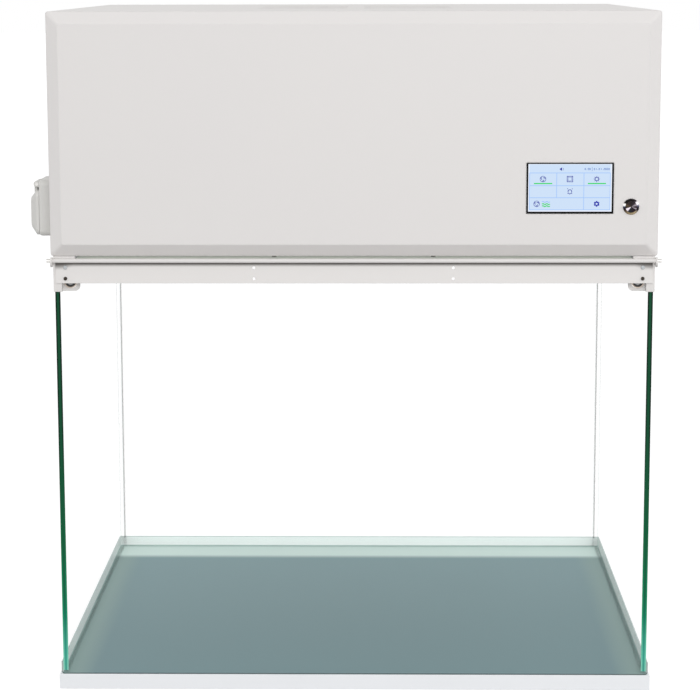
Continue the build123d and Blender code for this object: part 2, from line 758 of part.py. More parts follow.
shroud_low = impeller_top - shroud_rise
shroud_points = [
    (impeller_mouth, impeller_top),
    (impeller_mouth + shroud_sheet, impeller_top),
    (impeller_mouth + shroud_sheet + 3, impeller_top - 7),
    (impeller_radius, shroud_low + shroud_sheet),
    (impeller_radius, shroud_low),
    (impeller_mouth + 2, impeller_top - 7 - shroud_sheet),
    (impeller_mouth, impeller_top - 4),
]
shroud = revolve(Plane.XZ * Polygon(*shroud_points, align=None), Axis.Z)
over_shroud_points = [
    (0, impeller_top + 1),
    (0, impeller_top - 9),
    (impeller_mouth, impeller_top - 9),
    (impeller_mouth + shroud_sheet + 1, impeller_top - 7),
    (impeller_radius + 1, shroud_low + shroud_sheet / 2),
    (impeller_radius + 1, impeller_top + 1),
]
over_shroud = revolve(Plane.XZ * Polygon(*over_shroud_points, align=None), Axis.Z)
blades = [blade(index) - over_shroud for index in range(blade_count)]
rotor_top = impeller_bottom + rotor_height
cup_points = [
    (rotor_radius - rotor_wall, impeller_bottom - rotor_skirt),
    (rotor_radius, impeller_bottom - rotor_skirt),
    (rotor_radius, rotor_top - rotor_wall),
    (rotor_radius - rotor_wall, rotor_top),
    (shaft_radius + shaft_clear / 2, rotor_top),
    (shaft_radius + shaft_clear / 2, rotor_top - rotor_wall),
    (rotor_radius - rotor_wall, rotor_top - rotor_wall),
]
rotor_cup = revolve(Plane.XZ * Polygon(*cup_points, align=None), Axis.Z)
back_face = Circle(impeller_radius) - Circle(rotor_radius - rotor_wall / 2)
back_disc = Pos(0, 0, impeller_bottom) * extrude(back_face, back_plate)
impeller = back_disc + rotor_cup + shroud
for item in blades:
    impeller += item
write("impeller", Pos(0, fan_y, 0) * impeller)

# Rotor shaft, turning in the stator's bore
shaft_bottom = bracket_top + 1
write("rotor_shaft", rod_z(shaft_radius, shaft_bottom, rotor_top, 0, fan_y))

# Motor stator: flange, neck and winding body inside the rotor cup
stator_top = rotor_top - rotor_wall - stator_clear
stator_radius = rotor_radius - rotor_wall - stator_clear
stator_bore = shaft_radius + shaft_clear
stator_points = [
    (stator_bore, bracket_top),
    (stator_flange_radius, bracket_top),
    (stator_flange_radius, bracket_top + stator_flange),
    (stator_radius, bracket_top + stator_flange),
    (stator_radius, stator_top),
    (stator_bore, stator_top),
]
write("motor_stator", Pos(0, fan_y, 0) * revolve(Plane.XZ * Polygon(*stator_points, align=None), Axis.Z))

# Motor bracket: a spider plate hung from the deck by four pillars
spider = Circle(spider_hub)
pillar_places = PolarLocations(pillar_circle_radius, pillar_count, start_angle=45)
for turn in (45, 135):
    spider += Rot(0, 0, turn) * SlotCenterToCenter(2 * pillar_circle_radius, spider_arm)
spider -= Sketch() + pillar_places * Circle(pillar_radius / 2 + shaft_clear)
spider_bottom = bracket_top - bracket_plate
write("motor_bracket", Pos(0, fan_y, spider_bottom) * extrude(spider, bracket_plate))
pillar = Pos(0, 0, bracket_top) * extrude(Circle(pillar_radius), deck_bottom - bracket_top)
pillar += Pos(0, 0, spider_bottom - bracket_plate) * extrude(Circle(pillar_radius / 2), 2 * bracket_plate)
write("motor_pillars", Compound(children=[Pos(0, fan_y, 0) * place * pillar for place in pillar_places.locations]))

# Prefilter: a pad in a folded tray that hangs under the intake slots
tray_low = head_ceiling - prefilter_thick - prefilter_wall - fit_gap
tray_face = Pos(0, fan_y) * RectangleRounded(prefilter_side + 2 * prefilter_wall, prefilter_side + 2 * prefilter_wall, 3)
pad_face = Pos(0, fan_y) * RectangleRounded(prefilter_side, prefilter_side, 2)
lip_face = Pos(0, fan_y) * RectangleRounded(prefilter_side - 2 * prefilter_lip, prefilter_side - 2 * prefilter_lip, 2)
prefilter_tray = Pos(0, 0, tray_low) * extrude(tray_face, head_ceiling - tray_low)
prefilter_tray -= Pos(0, 0, tray_low + prefilter_wall) * extrude(pad_face, head_ceiling - tray_low)
prefilter_tray -= Pos(0, 0, tray_low - 1) * extrude(lip_face, head_ceiling - tray_low)
write("prefilter_tray", prefilter_tray)
pad_low = tray_low + prefilter_wall
pad_body = Pos(0, fan_y) * RectangleRounded(prefilter_side - fit_gap, prefilter_side - fit_gap, 2)
write("prefilter_pad", Pos(0, 0, pad_low) * extrude(pad_body, prefilter_thick))

# Touch screen: cover glass in the cover's window, module behind it, controller box on the module
write("touch_screen", span(screen_x - screen_width / 2, screen_x + screen_width / 2,
                           screen_back - screen_glass, screen_back,
                           screen_z - screen_height / 2, screen_z + screen_height / 2))
module_half_x = screen_width / 2 + module_border
module_half_z = screen_height / 2 + module_border
write("screen_module", span(screen_x - module_half_x, screen_x + module_half_x, screen_back, module_back,
                            screen_z - module_half_z, screen_z + module_half_z))
controller = span(screen_x - controller_width / 2, screen_x + controller_width / 2, module_back,
                  module_back + controller_depth, screen_z - controller_height / 2, screen_z + controller_height / 2)
controller = fillet(controller.edges().filter_by(Axis.Y), supply_round)
write("controller_box", controller)

# Power pushbutton: a turned body with a bezel, a nut behind the cover and a cap that travels inwards
bezel_front = cover_face - button_head
button_body = rod_y(button_head_radius, bezel_front, cover_face, button_x, button_z)
button_body = fillet(button_body.edges().sort_by(Axis.Y)[0], button_head * 0.6)
button_body += rod_y(button_body_radius, cover_face, cover_face + button_body_length, button_x, button_z)
button_body -= rod_y(button_cap_radius + button_clear, bezel_front - 1, cover_face + button_well, button_x, button_z)
write("button_body", button_body)
cap_front = bezel_front - button_cap_proud
cap_back = cover_face + button_well - button_travel - fit_gap
button_cap = rod_y(button_cap_radius, cap_front, cap_back, button_x, button_z)
button_cap = fillet(button_cap.edges().sort_by(Axis.Y)[0], button_cap_proud)
write("button_cap", button_cap)
nut_face = Plane.XZ.offset(-screen_back) * Pos(button_x, button_z) * (
    RegularPolygon(button_nut_radius, 6) - Circle(button_body_radius + shaft_clear))
write("button_nut", extrude(nut_face, -button_nut))

# Panel socket: collar with a barrel through the wall, a well for the plug, ears for the lid's pin
plate_face = Plane.YZ.offset(socket_face) * Pos(socket_y, socket_z) * RectangleRounded(
    socket_plate_y, socket_plate_z, socket_corner)
socket_body = extrude(plate_face, socket_proud)
socket_body = fillet(socket_body.edges().group_by(Axis.X)[0], 2)
socket_body += rod_x(socket_barrel, -head_outer, -head_outer + socket_barrel_depth, socket_y, socket_z)
socket_body -= rod_x(socket_well, socket_face - 1, socket_face + socket_well_depth + insert_thick, socket_y, socket_z)
ear_half = lid_knuckle_length / 2 + lid_ear_gap
for side in (-1, 1):
    ear_y = socket_y + side * (ear_half + lid_ear_length / 2)
    ear = Pos(lid_pin_x, ear_y, lid_pin_z) * Rot(90, 0, 0) * Cylinder(lid_knuckle, lid_ear_length)
    root = span(lid_pin_x, socket_face + 1, ear_y - lid_ear_length / 2, ear_y + lid_ear_length / 2,
                lid_pin_z - lid_knuckle, lid_pin_z + lid_knuckle)
    socket_body += ear + root
pin_half = ear_half + lid_ear_length
socket_body -= rod_y(lid_pin_radius + lid_pin_clear, socket_y - pin_half, socket_y + pin_half, lid_pin_x, lid_pin_z)
write("socket_body", socket_body)
insert_front = socket_face + socket_well_depth
socket_insert = rod_x(socket_well - shaft_clear, insert_front, insert_front + insert_thick, socket_y, socket_z)
for side in (-1, 1):
    socket_insert -= rod_x(socket_contact_radius, insert_front - 1, insert_front + insert_thick - 1.5,
                           socket_y + side * socket_contact_pitch / 2, socket_z)
write("socket_insert", socket_insert)
write("lid_pin", rod_y(lid_pin_radius, socket_y - pin_half, socket_y + pin_half, lid_pin_x, lid_pin_z))

# Socket lid: a domed shell with an edge band, hung on the pin by a knuckle
lid_centre_z = socket_z - lid_drop
lid_back = socket_face - lid_gap
lid_base = Plane.YZ.offset(lid_back) * Pos(socket_y, lid_centre_z) * RectangleRounded(lid_y, lid_z, socket_corner)
lid_crown = Plane.YZ.offset(lid_back - lid_bulge) * Pos(socket_y, lid_centre_z) * RectangleRounded(
    lid_y - 16, lid_z - 16, socket_corner)
lid_shoulder = Plane.YZ.offset(lid_back - lid_edge) * Pos(socket_y, lid_centre_z) * RectangleRounded(
    lid_y, lid_z, socket_corner)
lid_outer = extrude(lid_base, -lid_edge) + loft([lid_shoulder, lid_crown])
inner_base = Plane.YZ.offset(lid_back) * Pos(socket_y, lid_centre_z) * RectangleRounded(
    lid_y - 2 * lid_wall, lid_z - 2 * lid_wall, socket_corner - lid_wall)
inner_shoulder = Plane.YZ.offset(lid_back - lid_edge) * Pos(socket_y, lid_centre_z) * RectangleRounded(
    lid_y - 2 * lid_wall, lid_z - 2 * lid_wall, socket_corner - lid_wall)
inner_crown = Plane.YZ.offset(lid_back - lid_bulge + lid_wall) * Pos(socket_y, lid_centre_z) * RectangleRounded(
    lid_y - 18, lid_z - 18, socket_corner - lid_wall)
lid_inner = extrude(inner_base, -lid_edge) + loft([inner_shoulder, inner_crown])
socket_lid = lid_outer - lid_inner
spring_room = lid_spring_length + lid_ear_gap
knuckle_start = socket_y - lid_knuckle_length / 2
knuckle_end = socket_y + lid_knuckle_length / 2 - spring_room
knuckle = rod_y(lid_knuckle, knuckle_start, knuckle_end, lid_pin_x, lid_pin_z)
knuckle_web = span(lid_pin_x - lid_knuckle, lid_pin_x, knuckle_start, knuckle_end,
                   lid_centre_z + lid_z / 2 - 2 * lid_wall, lid_pin_z)
socket_lid += knuckle + (knuckle_web - lid_inner)
socket_lid -= rod_y(lid_pin_radius + lid_pin_clear, knuckle_start - 1, knuckle_end + 1, lid_pin_x, lid_pin_z)
write("socket_lid", socket_lid)

# Lid spring: a close coil on the pin beside the knuckle, drawn as one turned ridged sleeve
spring_start = knuckle_end + lid_ear_gap / 2
spring_pitch = lid_spring_length / lid_spring_turns
spring_inside = lid_pin_radius + lid_pin_clear
spring_profile = [(spring_inside, 0)]
for turn in range(lid_spring_turns):
    spring_profile.append((spring_inside + spring_wire / 3, turn * spring_pitch))
    spring_profile.append((spring_inside + spring_wire, (turn + 0.5) * spring_pitch))
spring_profile += [(spring_inside + spring_wire / 3, lid_spring_length), (spring_inside, lid_spring_length)]
spring = revolve(Plane.XZ * Polygon(*spring_profile, align=None), Axis.Z)
write("lid_spring", Pos(lid_pin_x, spring_start, lid_pin_z) * Rot(-90, 0, 0) * spring)

# Power inlet: a moulded appliance inlet in the rear panel with three contact pins
inlet = span(inlet_x - inlet_plate_x / 2, inlet_x + inlet_plate_x / 2, shell_back, shell_back + inlet_plate,
             inlet_z - inlet_plate_z / 2, inlet_z + inlet_plate_z / 2)
inlet = fillet(inlet.edges().filter_by(Axis.Y), supply_round)
inlet += span(inlet_x - inlet_body_x / 2, inlet_x + inlet_body_x / 2, shell_back - inlet_body_depth, shell_back,
              inlet_z - inlet_body_z / 2, inlet_z + inlet_body_z / 2)
inlet_mouth = shell_back + inlet_plate
inlet -= span(inlet_x - inlet_well_x / 2, inlet_x + inlet_well_x / 2, inlet_mouth - inlet_well_depth, inlet_mouth + 1,
              inlet_z - inlet_well_z / 2, inlet_z + inlet_well_z / 2)
write("power_inlet", inlet)
inlet_pins = []
for step in (-1, 0, 1):
    pin_x = inlet_x + step * inlet_pin_pitch
    pin_mid_z = inlet_z + (inlet_pin_rise if step == 0 else -inlet_pin_rise)
    inlet_pins.append(span(pin_x - inlet_pin_x / 2, pin_x + inlet_pin_x / 2, inlet_mouth - inlet_well_depth,
                           inlet_mouth - inlet_well_depth + inlet_pin_length,
                           pin_mid_z - inlet_pin_z / 2, pin_mid_z + inlet_pin_z / 2))
write("inlet_pins", Compound(children=inlet_pins))

# Power supply box on the deck, beside the inlet
supply_left = -head_inner + supply_side_room
supply_back = deck_back - supply_rear_room
supply = span(supply_left, supply_left + supply_x, supply_back - supply_y, supply_back, deck_top, deck_top + supply_z)
supply = fillet(supply.edges().filter_by(Axis.Z), supply_round)
write("power_supply", supply)
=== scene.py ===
import math
import bpy
import numpy as np
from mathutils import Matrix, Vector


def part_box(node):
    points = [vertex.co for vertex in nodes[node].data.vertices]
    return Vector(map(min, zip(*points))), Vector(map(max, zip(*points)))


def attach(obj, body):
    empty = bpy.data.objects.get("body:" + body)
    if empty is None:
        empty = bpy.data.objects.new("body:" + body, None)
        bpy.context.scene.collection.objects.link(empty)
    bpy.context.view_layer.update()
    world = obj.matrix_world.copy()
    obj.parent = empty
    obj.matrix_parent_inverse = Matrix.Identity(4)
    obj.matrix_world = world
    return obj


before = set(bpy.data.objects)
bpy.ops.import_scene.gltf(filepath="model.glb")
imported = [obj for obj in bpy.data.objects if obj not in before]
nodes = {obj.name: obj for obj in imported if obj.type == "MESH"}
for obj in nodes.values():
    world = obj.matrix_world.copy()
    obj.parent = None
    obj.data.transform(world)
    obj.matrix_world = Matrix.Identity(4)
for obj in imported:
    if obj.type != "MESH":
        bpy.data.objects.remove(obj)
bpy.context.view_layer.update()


# Base board. An 18 mm board laminated in cool white, with slightly broken edges, that the hood stands on.
# The laminate has a very fine pearl texture, and the front edge is banded in the same white.
class Shade:
    """One socket of a material's nodes. Arithmetic on it adds Math nodes, and make() adds any other node."""

    def __init__(self, tree, socket=None):
        self.tree = tree
        self.socket = socket

    def make(self, kind, settings, inputs, output=0):
        node = self.tree.nodes.new(kind)
        for name, value in settings.items():
            if name == "stops":
                while len(node.color_ramp.elements) < len(value):
                    node.color_ramp.elements.new(0.5)
                for stop, (place, colour) in zip(node.color_ramp.elements, value):
                    stop.position = place
                    stop.color = colour
            else:
                setattr(node, name, value)
        for key, value in inputs.items():
            if isinstance(value, Shade):
                self.tree.links.new(value.socket, node.inputs[key])
            else:
                node.inputs[key].default_value = value
        return Shade(self.tree, node.outputs[output])

    def maths(self, operation, first, second):
        return self.make("ShaderNodeMath", {"operation": operation}, {0: first, 1: second})

    def __add__(self, other):
        return self.maths("ADD", self, other)

    def __sub__(self, other):
        return self.maths("SUBTRACT", self, other)

    def __rsub__(self, other):
        return self.maths("SUBTRACT", other, self)

    def __mul__(self, other):
        return self.maths("MULTIPLY", self, other)

    def __truediv__(self, other):
        return self.maths("DIVIDE", self, other)

    def __gt__(self, other):
        return self.maths("GREATER_THAN", self, other)

    def __lt__(self, other):
        return self.maths("LESS_THAN", self, other)

    def __abs__(self):
        return self.maths("ABSOLUTE", self, 0.0)

    __radd__ = __add__
    __rmul__ = __mul__


def seen(red, green, blue, alpha=1.0):
    """A colour given as it looks, in 0 to 255, as linear light: the sRGB curve undone."""
    part = np.array([red, green, blue]) / 255
    light = np.where(part <= 0.04045, part / 12.92, ((part + 0.055) / 1.055) ** 2.4)
    return (*light.tolist(), alpha)


def finish(name, colour, roughness, metallic=0.0, **sockets):
    """A new material, a Shade to build from, and its Principled shader with plain values on its sockets."""
    material = bpy.data.materials.new(name)
    material.use_nodes = True
    shader = material.node_tree.nodes["Principled BSDF"]
    shader.inputs["Base Color"].default_value = colour
    shader.inputs["Roughness"].default_value = roughness
    shader.inputs["Metallic"].default_value = metallic
    for key, value in sockets.items():
        shader.inputs[key.replace("_", " ")].default_value = value
    return material, Shade(material.node_tree), shader


def feed(shade, shader, **links):
    """Links worked-out Shades to a shader's sockets: Base_Color=... feeds Base Color."""
    for key, value in links.items():
        shade.tree.links.new(value.socket, shader.inputs[key.replace("_", " ")])


def place(shade):
    """Object coordinates."""
    return shade.make("ShaderNodeTexCoord", {}, {}, output=3)


def noise(shade, scale, detail=2.0):
    """Noise of so many grains a metre on Object coordinates."""
    return shade.make("ShaderNodeTexNoise", {}, {"Vector": place(shade), "Scale": scale, "Detail": detail})


def tint(shade, factor, low, high):
    """A colour between two, by factor."""
    return shade.make("ShaderNodeMix", {"data_type": "RGBA"}, {0: factor, 6: low, 7: high}, output=2)


def grain(shade, height, strength, distance, edge=0.0):
    """A bump from a height, on a normal that the Bevel node rounds over edges where edge is above zero."""
    inputs = {"Height": height, "Strength": strength, "Distance": distance}
    if edge > 0:
        inputs["Normal"] = shade.make("ShaderNodeBevel", {"samples": 6}, {"Radius": edge})
    return shade.make("ShaderNodeBump", {}, inputs)


def dress(material, *names):
    """These CAD nodes take the material, whole."""
    for name in names:
        slots = nodes[name].data.materials
        slots.clear()
        slots.append(material)


board, shade, shader = finish("laminated_board", seen(240, 243, 246), 0.42)
pearl = noise(shade, 1400.0)
feed(shade, shader, Base_Color=tint(shade, noise(shade, 6.0), seen(245, 247, 250), seen(249, 251, 254)),
     Roughness=0.38 + 0.08 * pearl, Normal=grain(shade, pearl, 0.05, 0.0002))
dress(board, "base_plate")


# Work tray. One sheet of stainless steel, folded up at both sides and at the back and left as cut in front.
# Rolled satin steel: faint grain along X, and painted reflections: grey-green of the glass, paler beside the
# upstands.
def split(shade, vector, part):
    """One part of a vector: 0, 1 or 2."""
    return shade.make("ShaderNodeSeparateXYZ", {}, {0: vector}, output=part)


def fade(shade, value, start, end, low=0.0, high=1.0):
    """A smooth step: low before start, high after end."""
    return shade.make("ShaderNodeMapRange", {"interpolation_type": "SMOOTHSTEP"},
                      {0: value, 1: start, 2: end, 3: low, 4: high})


tray_low, tray_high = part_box("work_tray")
side_pane_low, side_pane_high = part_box("side_glass_right")
back_pane_low, back_pane_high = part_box("back_glass")
glass_inside = side_pane_low.x
glass_back = back_pane_low.y
unlit = (0.0, 0.0, 0.0, 1.0)
steel, shade, shader = finish("satin_stainless", seen(118, 143, 148), 0.3)
stretched = shade.make("ShaderNodeMapping", {}, {"Vector": place(shade), "Scale": (8.0, 900.0, 900.0)})
rolled = shade.make("ShaderNodeTexNoise", {}, {"Vector": stretched, "Scale": 1.0, "Detail": 3.0})
across = abs(split(shade, place(shade), 0))
along = split(shade, place(shade), 1)
height = split(shade, place(shade), 2)
# Painted reflection of the glass: the floor's grey-green, lighter towards the back.
depth_tint = tint(shade, fade(shade, along, -0.30, 0.28), seen(88, 130, 136), seen(103, 144, 150))
# Painted reflections of the upstands: a pale band along the back and a softer one along each side.
reflection_band = fade(shade, along, glass_back - 0.062, glass_back - 0.040)
side_reflection = fade(shade, across, glass_inside - 0.036, glass_inside - 0.006)
floor_tint = tint(shade, side_reflection * 0.5, depth_tint, seen(146, 176, 164))
floor_tint = tint(shade, reflection_band * 0.95, floor_tint, seen(228, 251, 244))
floor_level = tray_low.z + 0.0012
# Painted shade in the fold at the foot of the upstands: a darker grey-green band.
crease = 1 - fade(shade, height, floor_level + 0.0006, floor_level + 0.0022)
fold_shade = fade(shade, height, floor_level + 0.00002, floor_level + 0.0002) * crease
# The upstands are painted near white, a painted reflection of the bright surround.
upstand = fade(shade, height, floor_level + 0.0002, floor_level + 0.0018)
wall_tint = tint(shade, upstand, floor_tint, seen(250, 255, 253))
wall_tint = tint(shade, fold_shade * 0.5, wall_tint, seen(96, 140, 138))
# Darker along the top edge of the upstands and along the front cut edge.
lip = fade(shade, height, tray_high.z - 0.0012, tray_high.z - 0.0006)
wall_tint = tint(shade, lip * 0.6, wall_tint, seen(150, 166, 163))
cut_edge = along < tray_low.y + 0.0004
wall_tint = tint(shade, cut_edge * 0.8, wall_tint, seen(46, 58, 58))
# The upstands also glow faintly through Emission: painted light.
feed(shade, shader, Base_Color=tint(shade, rolled * 0.10, wall_tint, seen(190, 205, 205)),
     Roughness=0.34 + 0.12 * rolled, Metallic=0.15 * upstand, Normal=grain(shade, rolled, 0.08, 0.0002),
     Emission_Color=tint(shade, upstand, unlit, seen(78, 82, 81)))
shader.inputs["Emission Strength"].default_value = 1.0
dress(steel, "work_tray")


# Glass. Float glass, 6 mm, with ground and polished edges: two side panes, and a back pane behind them.
# The faces are all but invisible and the edges are bottle green, painted paler low down as light from the
# tray.
def pane_finish(name, edge_axis, middle, shown):
    """Clear but for the ends that shown picks by place: those are green, with a painted highlight along their
    core and painted light low down.
    """
    glass, shade, shader = finish(name, seen(225, 240, 235), 0.06, IOR=1.45, Specular_IOR_Level=0.15)
    height = split(shade, place(shade), 2)
    deep_stops = [(0.0, seen(170, 222, 210)), (0.08, seen(110, 208, 180)), (0.17, seen(14, 152, 108)),
                  (0.34, seen(0, 106, 64)), (0.6, seen(0, 48, 30)), (1.0, seen(0, 24, 13))]
    # The edge green is painted paler low down, as light from the tray, and darker upwards.
    deep = shade.make("ShaderNodeValToRGB", {"stops": deep_stops}, {0: height / side_pane_high.z})
    # A painted highlight runs along the middle of each edge, paler low down as painted light.
    core = 1 - fade(shade, abs(abs(split(shade, place(shade), edge_axis)) - middle), 0.0006, 0.0019)
    lit = fade(shade, height, 0.03, 0.12)
    inner = tint(shade, lit, seen(24, 150, 132), seen(0, 84, 50))
    edge_tint = tint(shade, core * 0.8, deep, inner)
    edge = shown(shade)
    feed(shade, shader, Base_Color=tint(shade, edge, seen(226, 242, 238), edge_tint),
         Alpha=0.035 + 0.965 * edge)
    return glass


def side_edges(shade):
    """A side pane's front end."""
    return split(shade, place(shade), 1) < side_pane_low.y + edge_depth


def back_edges(shade):
    """The back pane's two ends, seen from the sides of the hood, fainter than a front end."""
    return 0.2 * (abs(split(shade, place(shade), 0)) > back_pane_high.x - edge_depth)


edge_depth = 0.0005
side_middle = (side_pane_low.x + side_pane_high.x) / 2
back_middle = (back_pane_low.y + back_pane_high.y) / 2
dress(pane_finish("side_float_glass", 0, side_middle, side_edges), "side_glass_left", "side_glass_right")
dress(pane_finish("back_float_glass", 1, back_middle, back_edges), "back_glass")


# Sealant. Clear silicone: the strips that the panes stand on, and the beads down the two rear corners.
# It looks milky and grey against white, with a wet gloss and slow waves from the finger that drew it.
silicone, shade, shader = finish("clear_silicone", seen(196, 206, 204), 0.22, Specular_IOR_Level=0.2)
core = fade(shade, abs(split(shade, place(shade), 0)), glass_inside - 0.0021, glass_inside - 0.0010)
clear_of_tray = split(shade, place(shade), 2) > tray_high.z
feed(shade, shader, Base_Color=tint(shade, noise(shade, 60.0), seen(128, 136, 134), seen(146, 153, 151)),
     Alpha=0.05 + 0.4 * core * clear_of_tray, Normal=grain(shade, noise(shade, 90.0), 0.3, 0.0004))
dress(silicone, "corner_seals", "glass_setting_strips")


# Powder-coated steel. Channels, rail, lamp brackets and the whole head are folded sheet in one warm white.
# The coat has a fine orange peel, and it runs thin and a little brighter over the folds.
def powder_coat(name, colour, bright, fold):
    """The coat in one colour, with its folds rounded by that radius."""
    coat, shade, shader = finish(name, colour, 0.42, Specular_IOR_Level=0.4)
    peel = noise(shade, 1100.0)
    cloud = noise(shade, 5.0)
    feed(shade, shader, Base_Color=tint(shade, cloud, colour, bright), Roughness=0.38 + 0.1 * peel,
         Normal=grain(shade, peel, 0.06, 0.0002, fold))
    return coat


white = powder_coat("warm_white_powder_coat", seen(227, 224, 222), seen(230, 227, 225), 0.0007)
dress(white, "side_channel_left", "side_channel_right", "rear_channel", "front_rail", "rail_end_plates",
      "lamp_bracket_front_left", "lamp_bracket_front_right", "lamp_bracket_rear_left",
      "lamp_bracket_rear_right", "housing_shell", "rear_panel", "head_floor", "diffuser_grille")


# Front beam. A channel folded from the same sheet and coat, behind the rail and under the cover's lower edge.
# A painted shadow of the rail darkens the top of its face, in a dark line that widens towards both ends.
beam, shade, shader = finish("beam_powder_coat", seen(227, 224, 222), 0.42, Specular_IOR_Level=0.4)
rail_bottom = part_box("front_rail")[0].z
beam_low, beam_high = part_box("front_beam")
beam_face = beam_low.y
beam_top = beam_high.z
beam_sheet = 0.0012
height = split(shade, place(shade), 2)
# Painted shadow of the rail on the beam's face, darkest just under the rail and longer near the ends.
near_end = fade(shade, abs(split(shade, place(shade), 0)), 0.322, 0.342)
drop = (rail_bottom - height) / (1 + 0.7 * near_end)
shadow = fade(shade, drop, 0.0006, 0.0058, 0.94, 0.0)
on_face = split(shade, place(shade), 1) < beam_face + beam_sheet + 0.0001
peel = noise(shade, 1100.0)
coat = tint(shade, noise(shade, 5.0), seen(233, 230, 228), seen(236, 233, 231))
feed(shade, shader, Base_Color=tint(shade, shadow * on_face, coat, seen(40, 30, 19)),
     Roughness=0.38 + 0.1 * peel, Normal=grain(shade, peel, 0.06, 0.0002, 0.0007))
dress(beam, "front_beam")


# Beam cover strip. A thin angle of the same coated sheet that lies on the beam's top flange and runs back,
# folded down along its rear edge. It shuts most of the slot under the cover and shows there as a grey line,
# with a faint painted glow on its top face that stands for light from the slot's far side.
def swept(name, profile, end_x, material, body):
    """A closed profile of (y, z) points, anticlockwise from +X, carried from -end_x to end_x and capped."""
    outline = np.array(profile, float)
    count = len(outline)
    spots = np.vstack([np.column_stack([np.full(count, x), outline]) for x in (-end_x, end_x)])
    first = np.arange(count)
    following = (first + 1) % count
    sides = np.column_stack([first, following, following + count, first + count]).tolist()
    mesh = bpy.data.meshes.new(name)
    mesh.from_pydata(spots.tolist(), [], sides + [first[::-1].tolist(), (first + count).tolist()])
    mesh.materials.append(material)
    piece = bpy.data.objects.new(name, mesh)
    bpy.context.collection.objects.link(piece)
    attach(piece, body)
    return piece


strip_sheet = 0.0008
strip_lip = 0.006
strip_low = beam_top + 0.00005
strip_high = strip_low + strip_sheet
strip_front = beam_face + 0.002
strip_rear = beam_face + 0.0345
strip_inside = strip_rear - strip_sheet
strip_end = -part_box("side_channel_left")[1].x - 0.0004
strip_coat, shade, shader = finish("strip_powder_coat", seen(224, 224, 219), 0.42, Specular_IOR_Level=0.4)
# Its top face glows faintly through Emission: painted light from the slot's far side.
strip_top_glow = split(shade, place(shade), 2) > strip_high - 0.00015
feed(shade, shader, Base_Color=tint(shade, noise(shade, 5.0), seen(221, 222, 217), seen(227, 227, 222)),
     Roughness=0.38 + 0.1 * noise(shade, 1100.0),
     Emission_Color=tint(shade, strip_top_glow, unlit, seen(106, 110, 105)))
shader.inputs["Emission Strength"].default_value = 1.0
strip_profile = [(strip_front, strip_low), (strip_inside, strip_low), (strip_inside, strip_low - strip_lip),
                 (strip_rear, strip_low - strip_lip), (strip_rear, strip_high), (strip_front, strip_high)]
swept("beam_cover_strip", strip_profile, strip_end, strip_coat, "cabinet")


# Beam fittings. Clear vinyl bumpers that a panel can lean on, and blackened slotted screws under them.
# The rail's end pins are bright turned steel.
vinyl, shade, shader = finish("clear_vinyl", seen(190, 194, 196), 0.18, Coat_Weight=0.5)
feed(shade, shader, Base_Color=tint(shade, noise(shade, 400.0), seen(168, 174, 178), seen(214, 217, 219)))
dress(vinyl, "beam_bumpers")
blackened, shade, shader = finish("blackened_steel", seen(46, 40, 36), 0.4, 0.6)
feed(shade, shader, Base_Color=tint(shade, noise(shade, 900.0), seen(34, 29, 26), seen(66, 58, 50)),
     Roughness=0.34 + 0.15 * noise(shade, 1500.0))
dress(blackened, "beam_screws", "cover_screws")
bright, shade, shader = finish("bright_turned_steel", seen(214, 212, 209), 0.25, 0.8)
feed(shade, shader, Roughness=0.2 + 0.15 * noise(shade, 1800.0))
dress(bright, "rail_pins", "lid_pin", "lid_spring", "rotor_shaft", "button_nut")


# Lamps. A frosted tube down each side of the chamber's roof, in drawn metal end caps with black insulators.
# Unlit: the frost is a milky blue-white, and the caps are spun bright.
frost, shade, shader = finish("frosted_tube", seen(238, 240, 244), 0.35)
feed(shade, shader, Base_Color=tint(shade, noise(shade, 30.0), seen(232, 236, 242), seen(243, 244, 247)))
dress(frost, "lamp_tube_left", "lamp_tube_right")
drawn, shade, shader = finish("drawn_metal", seen(188, 190, 194), 0.3, 0.85)
feed(shade, shader, Roughness=0.24 + 0.16 * noise(shade, 1200.0))
dress(drawn, "filter_frame", "impeller")
lamp_low, lamp_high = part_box("lamp_tube_right")
lamp_x = (lamp_low.x + lamp_high.x) / 2
lamp_z = (lamp_low.z + lamp_high.z) / 2


def from_lamp(shade):
    """The distance from the nearer lamp's axis: the root of dx squared and dz squared."""
    off_x = abs(split(shade, place(shade), 0)) - lamp_x
    off_z = split(shade, place(shade), 2) - lamp_z
    return shade.maths("SQRT", off_x * off_x + off_z * off_z, 0.0)


spun, shade, shader = finish("spun_lamp_cap", seen(186, 176, 166), 0.3, 0.6)
rim = fade(shade, from_lamp(shade), 0.0060, 0.0067)
feed(shade, shader, Base_Color=tint(shade, rim, seen(14, 12, 12), seen(186, 172, 160)),
     Roughness=0.24 + 0.16 * noise(shade, 1200.0))
dress(spun, "lamp_end_caps")
insulator, shade, shader = finish("lamp_insulator", seen(20, 18, 18), 0.4)
radius = from_lamp(shade)
stud = fade(shade, radius, 0.0009, 0.0014) * fade(shade, radius, 0.0035, 0.0042, 1.0, 0.0)
feed(shade, shader, Base_Color=tint(shade, stud, seen(16, 14, 14), seen(206, 206, 208)),
     Roughness=0.34 + 0.12 * noise(shade, 1600.0))
dress(insulator, "lamp_insulators")
moulded_black, shade, shader = finish("black_moulding", seen(26, 25, 26), 0.45)
feed(shade, shader, Base_Color=tint(shade, noise(shade, 500.0), seen(20, 19, 20), seen(34, 33, 34)),
     Roughness=0.4 + 0.15 * noise(shade, 1600.0), Normal=grain(shade, noise(shade, 2200.0), 0.15, 0.0002))
dress(moulded_black, "screen_module", "controller_box", "power_inlet", "power_supply")


